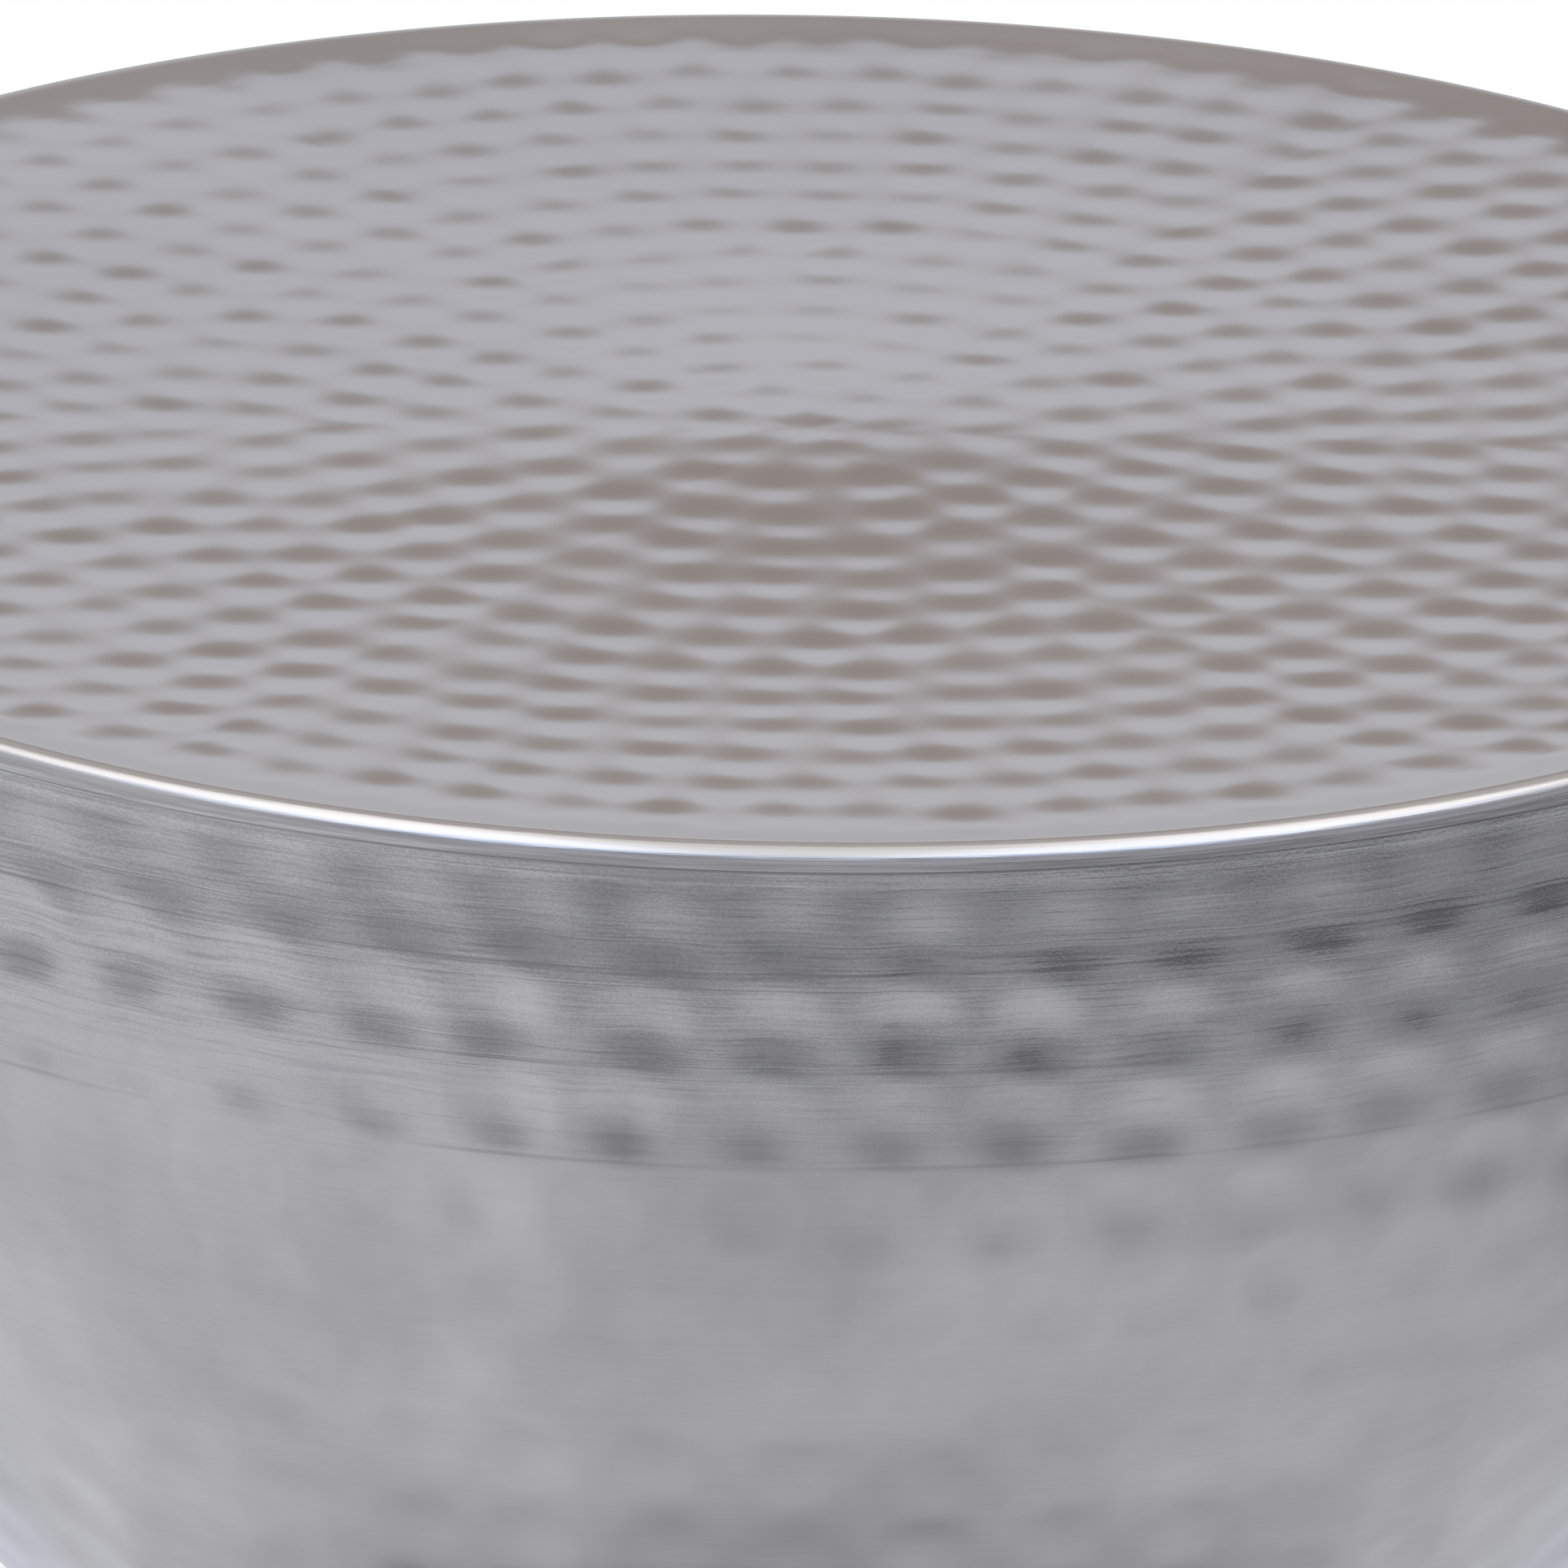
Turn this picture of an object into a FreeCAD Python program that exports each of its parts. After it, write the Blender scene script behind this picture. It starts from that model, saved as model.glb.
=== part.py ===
import FreeCAD, Part
import math
import os
import Sketcher

from FreeCAD import Placement, Rotation, Vector

# Hourglass drum side table of spun aluminium sheet, standing on z = 0 with its axis on z.
# Two flared shells are bolted together at the waist, and a hammered top panel caps the upper one.

doc = FreeCAD.newDocument("drum_side_table")
sheet = doc.addObject("Spreadsheet::Sheet", "dims")

# Driving dimensions: lengths in millimetres, names ending in angle in degrees
dimensions = {
    # Overall form
    "table_height": 559.0,
    "top_diameter": 432.0,
    "waist_diameter": 216.0,
    "shoulder_share": 0.69,
    # Sheet gauges
    "shell_sheet": 1.5,
    "top_sheet": 1.2,
    # Top panel, from the domed middle out to the skirt
    "dome_reach": 18.0,
    "dome_angle": 1.8,
    "dish_angle": 3.0,
    "band_bend": 25.0,
    "rim_band": 7.5,
    "rim_angle": 8.0,
    "rim_radius": 3.0,
    "skirt_height": 1.0,
    "skirt_fit": 0.1,
    # Seat of the top panel on the upper shell
    "seat_width": 6.5,
    "seat_bend": 0.75,
    # Flanges and rings at the waist
    "waist_bend": 2.0,
    "flange_width": 20.5,
    "clamp_sheet": 3.0,
    "clamp_gap": 1.0,
    # Waist hardware
    "bolt_count": 6,
    "bolt_diameter": 6.0,
    "bolt_length": 18.0,
    "bolt_head_height": 4.0,
    "hex_flats": 10.0,
    "drill_diameter": 6.6,
    "washer_diameter": 12.0,
    "washer_sheet": 1.6,
    "nut_height": 5.0,
    "thread_fit": 0.1,
    # Foot edge and glides
    "foot_wire": 5.0,
    "foot_wire_fit": 0.3,
    "curl_angle": 270.0,
    "glide_pad": 3.0,
    "glide_lip": 3.0,
    "glide_fit": 0.1,
    "glide_wrap_angle": 30.0,
    "glide_span_angle": 12.0,
    "glide_count": 4,
    "cut_overrun": 2.0,
}
for row, (alias, value) in enumerate(dimensions.items(), start=1):
    sheet.set(f"A{row}", alias)
    sheet.set(f"B{row}", str(value))
    sheet.setAlias(f"B{row}", alias)
doc.recompute()

# Places that several pieces share, as formulas over the sheet
top_radius = "(dims.top_diameter / 2)"
shell_radius = f"({top_radius} - dims.top_sheet - dims.skirt_fit)"
waist_radius = "(dims.waist_diameter / 2)"
waist_corner = "(dims.waist_bend + dims.shell_sheet)"
opening_radius = f"({waist_radius} - {waist_corner} - dims.flange_width)"
foot_corner = "(dims.foot_wire / 2 + dims.foot_wire_fit + dims.shell_sheet)"
foot_centre = f"({shell_radius} - {foot_corner})"
foot_level = f"(dims.glide_pad + {foot_corner})"
skirt_level = "(dims.table_height - dims.rim_radius - dims.skirt_height)"
waist_level = f"(({skirt_level} + {foot_level}) / 2)"

# The flare from waist to rim is an S of two arcs with one turn, upright at both ends
flare_height = f"({waist_level} - {foot_level} - {waist_corner})"
flare_turn = f"(2 * atan(({shell_radius} - {waist_radius}) / {flare_height}))"
flare_radius = f"({flare_height} / sin({flare_turn}))"
shoulder_radius = f"({flare_radius} * dims.shoulder_share)"
hollow_radius = f"({flare_radius} * (1 - dims.shoulder_share))"

# The upper shell's seat lies along the underside of the top panel's raised band
rim_turn = "(dims.rim_angle * 1 deg)"
dish_turn = "(dims.dish_angle * 1 deg)"
dome_turn = "(dims.dome_angle * 1 deg)"
seat_corner = "(dims.seat_bend + dims.shell_sheet)"
seat_inset = f"(dims.rim_radius - dims.top_sheet - dims.skirt_fit - {seat_corner})"
seat_drop = f"(dims.rim_radius - dims.top_sheet - {seat_corner} + sin({rim_turn}) * {seat_inset})"
land_height = f"(dims.skirt_height + {seat_drop} / cos({rim_turn}))"

# The clamp rings cover the flat of the flanges, and the bolts stand in the middle of the rings
clamp_radius = f"({waist_radius} - {waist_corner} - dims.clamp_gap)"
bolt_radius = f"(({clamp_radius} + {opening_radius}) / 2)"
half_clamp = "(dims.shell_sheet + dims.clamp_sheet)"

quarter_turn = "90 deg"
upright = Placement(Vector(0, 0, 0), Rotation(Vector(1, 0, 0), 90))
sketch_origin = -1
across_axis = -1
hex_sides = 6


def number(formula):
    value = sheet.evalExpression(formula)
    return float(getattr(value, "Value", value))


def dimension(sketch, label, formula, kind, *places):
    # A named constraint that follows a formula over the sheet
    value = number(formula)
    if kind == "Angle":
        value = math.radians(value)
    index = sketch.addConstraint(Sketcher.Constraint(kind, *places, value))
    sketch.renameConstraint(index, label)
    sketch.setExpression(f"Constraints.{label}", formula)


def line(length):
    return {"length": length}


def left(radius, turn):
    return {"radius": radius, "turn": turn, "side": 1}


def right(radius, turn):
    return {"radius": radius, "turn": turn, "side": -1}


def section_path(name, across, level, heading, moves):
    # One face of a bent sheet's section: tangent lines and arcs, drawn on from a start point
    sketch = doc.addObject("Sketcher::SketchObject", name)
    sketch.Placement = upright
    point = Vector(number(across), number(level), 0)
    angle = math.radians(heading)
    before = None
    for step, move in enumerate(moves):
        if "length" in move:
            along = Vector(math.cos(angle), math.sin(angle), 0)
            target = point + along * number(move["length"])
            edge = sketch.addGeometry(Part.LineSegment(point, target))
            first, last = 1, 2
        else:
            side = move["side"]
            radius = number(move["radius"])
            turn = math.radians(number(move["turn"]))
            centre = point + Vector(-math.sin(angle), math.cos(angle), 0) * radius * side
            circle = Part.Circle(centre, Vector(0, 0, 1), radius)
            begin = angle - side * math.pi / 2
            finish = begin + side * turn
            edge = sketch.addGeometry(Part.ArcOfCircle(circle, min(begin, finish), max(begin, finish)))
            first, last = (1, 2) if side > 0 else (2, 1)
            target = centre + Vector(math.cos(finish), math.sin(finish), 0) * radius
            angle += side * turn
        if before is None:
            dimension(sketch, "start_across", across, "DistanceX", sketch_origin, 1, edge, first)
            dimension(sketch, "start_level", level, "DistanceY", sketch_origin, 1, edge, first)
            sketch.addConstraint(Sketcher.Constraint("Vertical" if heading else "Horizontal", edge))
        else:
            sketch.addConstraint(Sketcher.Constraint("Tangent", *before, edge, first))
        if "length" in move:
            dimension(sketch, f"length_{step}", move["length"], "Distance", edge)
        else:
            dimension(sketch, f"radius_{step}", move["radius"], "Radius", edge)
            dimension(sketch, f"turn_{step}", move["turn"], "Angle", edge)
        before = (edge, last)
        point = target
    return sketch


def spun_sheet(name, path, gauge):
    # The path thickened to the sheet's gauge and spun round the table's axis
    section = doc.addObject("Part::Offset2D", f"{name}_section")
    section.Source = path
    section.Mode = "Skin"
    section.Fill = True
    section.setExpression("Value", gauge)
    spinning = doc.addObject("Part::Revolution", f"{name}_spinning")
    spinning.Source = section
    spinning.Axis = Vector(0, 0, 1)
    spinning.Solid = True
    return spinning


def plane_sketch(body, name, role):
    sketch = body.newObject("Sketcher::SketchObject", name)
    plane = next(part for part in body.Origin.OriginFeatures if part.Role == role)
    sketch.AttachmentSupport = (plane, [""])
    sketch.MapMode = "FlatFace"
    return sketch


def draw_circle(sketch, label, radius, across=None):
    # A circle on the across axis, at the middle unless a distance is given
    centre = Vector(number(across) if across else 0, 0, 0)
    circle = sketch.addGeometry(Part.Circle(centre, Vector(0, 0, 1), number(radius)))
    if across:
        dimension(sketch, f"{label}_across", across, "DistanceX", sketch_origin, 1, circle, 3)
        sketch.addConstraint(Sketcher.Constraint("PointOnObject", circle, 3, across_axis))
    else:
        sketch.addConstraint(Sketcher.Constraint("Coincident", circle, 3, sketch_origin, 1))
    dimension(sketch, f"{label}_radius", radius, "Radius", circle)
    return circle


def draw_hexagon(sketch, flats, across):
    # A hexagon with two upright sides, held by a guide circle through its corners
    corner = f"({flats} / (2 * cos(180 deg / {hex_sides})))"
    guide = draw_circle(sketch, "guide", corner, across)
    sketch.setConstruction(guide, True)
    centre = Vector(number(across), 0, 0)
    reach = number(corner)
    corners = []
    for step in range(hex_sides):
        angle = 2 * math.pi * (step + 1 / 2) / hex_sides
        corners.append(centre + Vector(math.cos(angle), math.sin(angle), 0) * reach)
    edges = []
    for start, target in zip(corners, corners[1:] + corners[:1]):
        edges.append(sketch.addGeometry(Part.LineSegment(start, target)))
    for edge, after in zip(edges, edges[1:] + edges[:1]):
        sketch.addConstraint(Sketcher.Constraint("Coincident", edge, 2, after, 1))
        sketch.addConstraint(Sketcher.Constraint("PointOnObject", edge, 1, guide))
    for edge in edges[1:]:
        sketch.addConstraint(Sketcher.Constraint("Equal", edges[0], edge))
    sketch.addConstraint(Sketcher.Constraint("Vertical", edges[-1]))


def pad(body, name, sketch, length, downward=False):
    feature = body.newObject("PartDesign::Pad", name)
    feature.Profile = sketch
    feature.setExpression("Length", length)
    feature.Reversed = downward
    return feature


def repeat_round_axis(body, name, features):
    # One copy for each bolt, evenly round the table's axis
    pattern = body.newObject("PartDesign::PolarPattern", name)
    axis = next(part for part in body.Origin.OriginFeatures if part.Role == "Z_Axis")
    pattern.Originals = features
    pattern.Axis = (axis, [""])
    pattern.setExpression("Occurrences", "dims.bolt_count")
    body.Tip = pattern


def new_body(name, level):
    body = doc.addObject("PartDesign::Body", name)
    body.setExpression("Placement.Base.z", level)
    return body


def drilled(name, base, drill):
    piece = doc.addObject("Part::Cut", name)
    piece.Base = base
    piece.Tool = drill
    return piece


def make_top_panel():
    # From the skirt's lower edge up round the rim, down the raised band, and over the shallow dish to the dome
    band_end = f"({top_radius} - dims.rim_radius * (1 + sin({rim_turn})) - dims.rim_band * cos({rim_turn}))"
    dish_end = f"({band_end} - dims.band_bend * (sin({rim_turn}) - sin({dish_turn})))"
    dish_radius = f"(({dish_end} - dims.dome_reach) / (sin({dish_turn}) + sin({dome_turn})))"
    dome_radius = f"(dims.dome_reach / sin({dome_turn}))"
    path = section_path("top_panel_path", top_radius, skirt_level, 90, [
        line("dims.skirt_height"),
        left("dims.rim_radius", f"({quarter_turn} + {rim_turn})"),
        line("dims.rim_band"),
        right("dims.band_bend", f"({rim_turn} - {dish_turn})"),
        right(dish_radius, f"({dish_turn} + {dome_turn})"),
        left(dome_radius, dome_turn),
    ])
    return spun_sheet("top_panel", path, "dims.top_sheet")


def make_upper_shell(drill):
    # From the waist flange out and up the flare, then in again as the seat of the top panel
    path = section_path("upper_shell_path", opening_radius, waist_level, 0, [
        line("dims.flange_width"),
        left(waist_corner, quarter_turn),
        right(hollow_radius, flare_turn),
        left(shoulder_radius, flare_turn),
        line(land_height),
        left(seat_corner, f"({quarter_turn} + {rim_turn})"),
        line("dims.seat_width"),
    ])
    return drilled("upper_shell", spun_sheet("upper_shell", path, "dims.shell_sheet"), drill)


def make_lower_shell(drill):
    # The same flare turned over, with its foot edge curled inward round the wire
    path = section_path("lower_shell_path", opening_radius, waist_level, 0, [
        line("dims.flange_width"),
        right(waist_corner, quarter_turn),
        left(hollow_radius, flare_turn),
        right(shoulder_radius, flare_turn),
        right(foot_corner, "(dims.curl_angle * 1 deg)"),
    ])
    return drilled("lower_shell", spun_sheet("lower_shell", path, "-dims.shell_sheet"), drill)


def make_drill():
    # The bolt holes, bored through both flanges and both rings together
    reach = f"({half_clamp} + dims.cut_overrun)"
    body = new_body("bolt_drill", f"{waist_level} - {reach}")
    sketch = plane_sketch(body, "bolt_drill_sketch", "XY_Plane")
    draw_circle(sketch, "drill", "dims.drill_diameter / 2", bolt_radius)
    bore = pad(body, "bolt_drill_pad", sketch, f"2 * {reach}")
    repeat_round_axis(body, "bolt_drill_pattern", [bore])
    return body


def make_clamp_ring(name, level, drill):
    body = new_body(f"{name}_blank", level)
    sketch = plane_sketch(body, f"{name}_sketch", "XY_Plane")
    draw_circle(sketch, "outside", clamp_radius)
    draw_circle(sketch, "opening", opening_radius)
    pad(body, f"{name}_pad", sketch, "dims.clamp_sheet")
    return drilled(name, body, drill)


def make_bolts():
    # Heads below, on the washers, and shanks up through the joint
    body = new_body("waist_bolts", f"{waist_level} - {half_clamp} - dims.washer_sheet")
    head_sketch = plane_sketch(body, "bolt_head_sketch", "XY_Plane")
    draw_hexagon(head_sketch, "dims.hex_flats", bolt_radius)
    head = pad(body, "bolt_head", head_sketch, "dims.bolt_head_height", downward=True)
    shank_sketch = plane_sketch(body, "bolt_shank_sketch", "XY_Plane")
    draw_circle(shank_sketch, "shank", "dims.bolt_diameter / 2", bolt_radius)
    shank = pad(body, "bolt_shank", shank_sketch, "dims.bolt_length")
    repeat_round_axis(body, "bolt_pattern", [head, shank])
    return body


def make_washers():
    body = new_body("waist_washers", f"{waist_level} - {half_clamp} - dims.washer_sheet")
    sketch = plane_sketch(body, "washer_sketch", "XY_Plane")
    draw_circle(sketch, "outside", "dims.washer_diameter / 2", bolt_radius)
    draw_circle(sketch, "hole", "dims.drill_diameter / 2", bolt_radius)
    disc = pad(body, "washer_pad", sketch, "dims.washer_sheet")
    repeat_round_axis(body, "washer_pattern", [disc])
    return body


def make_nuts():
    body = new_body("waist_nuts", f"{waist_level} + {half_clamp}")
    sketch = plane_sketch(body, "nut_sketch", "XY_Plane")
    draw_hexagon(sketch, "dims.hex_flats", bolt_radius)
    draw_circle(sketch, "thread", "dims.bolt_diameter / 2 + dims.thread_fit", bolt_radius)
    block = pad(body, "nut_pad", sketch, "dims.nut_height")
    repeat_round_axis(body, "nut_pattern", [block])
    return body


def make_foot_wire():
    hoop = doc.addObject("Part::Torus", "foot_wire")
    hoop.setExpression("Radius1", foot_centre)
    hoop.setExpression("Radius2", "dims.foot_wire / 2")
    hoop.setExpression("Placement.Base.z", foot_level)
    return hoop


def make_glide(index):
    # A saddle that grips the curled edge from below and inside, flat on the floor
    grip = f"({foot_corner} + dims.glide_fit)"
    body = doc.addObject("PartDesign::Body", f"foot_glide_{index + 1}")
    sketch = plane_sketch(body, f"glide_sketch_{index + 1}", "XZ_Plane")
    centre = Vector(number(foot_centre), number(foot_level), 0)
    radius = number(grip)
    wrap = math.radians(number("dims.glide_wrap_angle"))
    inner = centre - Vector(radius, 0, 0)
    outer = centre + Vector(math.sin(wrap), -math.cos(wrap), 0) * radius
    back = inner - Vector(number("dims.glide_lip"), 0, 0)
    circle = Part.Circle(centre, Vector(0, 0, 1), radius)
    saddle = sketch.addGeometry(Part.ArcOfCircle(circle, math.pi, 3 * math.pi / 2 + wrap))
    corners = [outer, Vector(outer.x, 0, 0), Vector(back.x, 0, 0), back, inner]
    edges = []
    for start, target in zip(corners, corners[1:]):
        edges.append(sketch.addGeometry(Part.LineSegment(start, target)))
    toe, sole, heel, lip = edges
    sketch.addConstraint(Sketcher.Constraint("Coincident", saddle, 2, toe, 1))
    for start, target in zip(edges, edges[1:]):
        sketch.addConstraint(Sketcher.Constraint("Coincident", start, 2, target, 1))
    sketch.addConstraint(Sketcher.Constraint("Coincident", lip, 2, saddle, 1))
    for upright_edge in (toe, heel):
        sketch.addConstraint(Sketcher.Constraint("Vertical", upright_edge))
    sketch.addConstraint(Sketcher.Constraint("PointOnObject", sole, 1, across_axis))
    for level_edge in (sole, lip):
        sketch.addConstraint(Sketcher.Constraint("Horizontal", level_edge))
    dimension(sketch, "centre_across", foot_centre, "DistanceX", sketch_origin, 1, saddle, 3)
    dimension(sketch, "centre_level", foot_level, "DistanceY", sketch_origin, 1, saddle, 3)
    dimension(sketch, "grip", grip, "Radius", saddle)
    dimension(sketch, "wrap", f"{quarter_turn} + dims.glide_wrap_angle * 1 deg", "Angle", saddle)
    dimension(sketch, "lip_level", foot_level, "DistanceY", sketch_origin, 1, lip, 2)
    dimension(sketch, "lip_width", "dims.glide_lip", "Distance", lip)
    saddle_turn = body.newObject("PartDesign::Revolution", f"glide_turn_{index + 1}")
    saddle_turn.Profile = sketch
    saddle_turn.ReferenceAxis = (sketch, ["V_Axis"])
    saddle_turn.setExpression("Angle", "dims.glide_span_angle * 1 deg")
    middle = f"(360 deg / dims.glide_count * ({index} + 1 / 2))"
    body.setExpression("Placement.Rotation.Angle", f"{middle} - dims.glide_span_angle * 1 deg / 2")
    return body


drill = make_drill()
pieces = [
    make_top_panel(),
    make_upper_shell(drill),
    make_lower_shell(drill),
    make_clamp_ring("upper_clamp_ring", f"{waist_level} + dims.shell_sheet", drill),
    make_clamp_ring("lower_clamp_ring", f"{waist_level} - {half_clamp}", drill),
    make_bolts(),
    make_washers(),
    make_nuts(),
    make_foot_wire(),
]
for index in range(int(number("dims.glide_count"))):
    pieces.append(make_glide(index))
pieces[0].Label = "top_panel"
doc.recompute()

for item in doc.Objects:
    if "Invalid" in item.State or "Error" in item.State:
        raise RuntimeError(f"{item.Name} did not build: {item.State}")
for piece in pieces:
    if piece.Shape.isNull() or not piece.Shape.isValid():
        raise RuntimeError(f"{piece.Label} has no valid shape")

os.makedirs("parts", exist_ok=True)
for piece in pieces:
    piece.Shape.exportStep(f"parts/{piece.Label}.step")
    solids = piece.Shape.Solids
    print(piece.Label, len(solids), "solids", round(piece.Shape.Volume, 1), "cubic mm")
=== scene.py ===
import bmesh
import bpy
import math
import numpy as np
from mathutils import Matrix, Vector


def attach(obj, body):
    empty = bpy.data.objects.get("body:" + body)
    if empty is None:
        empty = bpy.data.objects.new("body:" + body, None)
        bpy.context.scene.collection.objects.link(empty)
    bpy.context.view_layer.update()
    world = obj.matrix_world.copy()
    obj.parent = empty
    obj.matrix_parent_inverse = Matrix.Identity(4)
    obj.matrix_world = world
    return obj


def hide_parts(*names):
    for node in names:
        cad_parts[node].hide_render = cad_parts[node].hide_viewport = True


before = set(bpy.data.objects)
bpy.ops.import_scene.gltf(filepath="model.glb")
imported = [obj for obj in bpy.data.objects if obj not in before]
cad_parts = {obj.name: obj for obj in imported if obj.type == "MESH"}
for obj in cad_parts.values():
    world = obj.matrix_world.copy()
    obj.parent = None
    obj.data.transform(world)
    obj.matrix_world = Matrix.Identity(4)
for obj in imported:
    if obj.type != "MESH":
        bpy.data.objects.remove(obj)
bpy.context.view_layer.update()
mm = 0.001
print("frame loaded,", len(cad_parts), "nodes")


# Node trees: sums are written in Python, every other node comes from NodeSheet.add

def socketNamed(sockets, key):
    if isinstance(key, int):
        return sockets[key]
    return next(socket for socket in sockets if socket.name == key and socket.enabled)


class Wire:
    def __init__(self, sheet, node, socket):
        self.sheet = sheet
        self.node = node
        self.socket = socket

    def out(self, name):
        return Wire(self.sheet, self.node, socketNamed(self.node.outputs, name))

    def maths(self, operation, *values):
        return self.sheet.add("ShaderNodeMath", {"operation": operation}, dict(enumerate(values)))

    def __add__(self, other):
        return self.maths("ADD", self, other)

    def __radd__(self, other):
        return self.maths("ADD", other, self)

    def __sub__(self, other):
        return self.maths("SUBTRACT", self, other)

    def __rsub__(self, other):
        return self.maths("SUBTRACT", other, self)

    def __mul__(self, other):
        return self.maths("MULTIPLY", self, other)

    def __rmul__(self, other):
        return self.maths("MULTIPLY", other, self)

    def __truediv__(self, other):
        return self.maths("DIVIDE", self, other)

    def __rtruediv__(self, other):
        return self.maths("DIVIDE", other, self)

    def __mod__(self, other):
        return self.maths("FLOORED_MODULO", self, other)

    def __neg__(self):
        return self.maths("MULTIPLY", self, -1)

    def clipped(self):
        return self.sheet.add("ShaderNodeClamp", {}, {"Value": self})

    def near(self, level, width):
        gap = self - level
        return gap.maths("ABSOLUTE", gap).ramp(0.0, width, 1.0, 0.0)

    def ramp(self, low, high, start=0, end=1):
        places = {"Value": self, "From Min": low, "From Max": high, "To Min": start, "To Max": end}
        return self.sheet.add("ShaderNodeMapRange", {"interpolation_type": "SMOOTHSTEP"}, places)


class NodeSheet:
    def __init__(self, tree):
        self.tree = tree
        tree.nodes.clear()

    def add(self, kind, settings=None, values=None):
        node = self.tree.nodes.new(kind)
        for name, value in (settings or {}).items():
            setattr(node, name, value)
        for key, value in (values or {}).items():
            socket = socketNamed(node.inputs, key)
            if isinstance(value, Wire):
                self.tree.links.new(value.socket, socket)
            else:
                socket.default_value = value
        outputs = [socket for socket in node.outputs if socket.enabled]
        return Wire(self, node, outputs[0] if outputs else None)

    def mixed(self, share, first, second):
        return self.add("ShaderNodeMix", {"data_type": "RGBA"}, {"Factor": share, "A": first, "B": second})

    def length(self, vector):
        return self.add("ShaderNodeVectorMath", {"operation": "LENGTH"}, {"Vector": vector}).out("Value")

    def scaled(self, vector, size):
        return self.add("ShaderNodeVectorMath", {"operation": "SCALE"}, {"Vector": vector, "Scale": size})

    def noise(self, place, scale, detail=2.0, roughness=0.5):
        values = {"Vector": place, "Scale": scale, "Detail": detail, "Roughness": roughness}
        return self.add("ShaderNodeTexNoise", {}, values)

    def brushed(self, place, around, upward):
        stretched = self.add("ShaderNodeMapping", {}, {"Vector": place, "Scale": (around, around, upward)})
        return self.noise(stretched, 1.0, 2.0, 0.6)

    def bumped(self, height, depth):
        values = {"Strength": 1.0, "Distance": depth * mm, "Height": height}
        return self.add("ShaderNodeBump", {}, values)


# The sheets' sections, in millimetres as in the solids: across from the axis, and up from the floor

form = {
    "height": 559.0,
    "topRadius": 216.0,
    "waistRadius": 108.0,
    "shoulderShare": 0.69,
    "shellGauge": 1.5,
    "topGauge": 1.2,
    "skirtFit": 0.1,
    "rimRadius": 3.0,
    "rimAngle": 8.0,
    "skirtHeight": 1.0,
    "waistBend": 2.0,
    "flangeWidth": 20.5,
    "seatBend": 0.75,
    "seatWidth": 6.5,
    "footWire": 5.0,
    "wireFit": 0.3,
    "curlAngle": 270.0,
    "glidePad": 3.0,
}
shellRadius = form["topRadius"] - form["topGauge"] - form["skirtFit"]
skirtLevel = form["height"] - form["rimRadius"] - form["skirtHeight"]
footCorner = form["footWire"] / 2 + form["wireFit"] + form["shellGauge"]
footLevel = form["glidePad"] + footCorner
waistLevel = (skirtLevel + footLevel) / 2
waistCorner = form["waistBend"] + form["shellGauge"]
flareHeight = waistLevel - footLevel - waistCorner
flareTurn = 2 * math.atan((shellRadius - form["waistRadius"]) / flareHeight)
flareRadius = flareHeight / math.sin(flareTurn)
shoulderRadius = flareRadius * form["shoulderShare"]
hollowRadius = flareRadius - shoulderRadius
flareLength = flareRadius * flareTurn
rimTurn = math.radians(form["rimAngle"])
quarter = math.pi / 2
finestBend = math.radians(12)
sharpEdge = math.radians(40)


def walk(across, up, heading, moves, step, straightStep=6.0):
    # stations along one face of a bent sheet; a move is (length,) or (radius, turn), left turns positive
    angle = heading
    along = 0.0
    stations = [(across, up, angle, along)]
    for move in moves:
        if len(move) == 1:
            count = math.ceil(move[0] / straightStep)
            for _ in range(count):
                across += math.cos(angle) * move[0] / count
                up += math.sin(angle) * move[0] / count
                along += move[0] / count
                stations.append((across, up, angle, along))
            continue
        radius, turn = move
        side = math.copysign(1, turn)
        count = max(math.ceil(abs(turn) * radius / step), math.ceil(abs(turn) / finestBend))
        middle = (across - side * radius * math.sin(angle), up + side * radius * math.cos(angle))
        for _ in range(count):
            angle += turn / count
            along += abs(turn) * radius / count
            across = middle[0] + side * radius * math.sin(angle)
            up = middle[1] - side * radius * math.cos(angle)
            stations.append((across, up, angle, along))
    return stations


def facing(station, side, depth=0.0):
    # a station's place, moved into the sheet by a depth, and the way the face looks
    across, up, angle, along = station
    look = (side * math.sin(angle), -side * math.cos(angle))
    return across - look[0] * depth, up - look[1] * depth, look, along


def strip(first, second):
    # faces between two rings of vertices, which may differ in number
    n, m = len(first), len(second)
    if n == 1 or m == 1:
        pole, ring = (first[0], second) if n == 1 else (second[0], first)
        return [(pole, ring[i], ring[(i + 1) % len(ring)]) for i in range(len(ring))]
    if n == m:
        return [(first[i], first[(i + 1) % n], second[(i + 1) % n], second[i]) for i in range(n)]
    faces = []
    i = j = 0
    while i < n or j < m:
        if j == m or (i < n and (i + 1) * m <= (j + 1) * n):
            faces.append((first[i % n], first[(i + 1) % n], second[j % m]))
            i += 1
        else:
            faces.append((first[i % n], second[(j + 1) % m], second[j % m]))
            j += 1
    return faces


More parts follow.
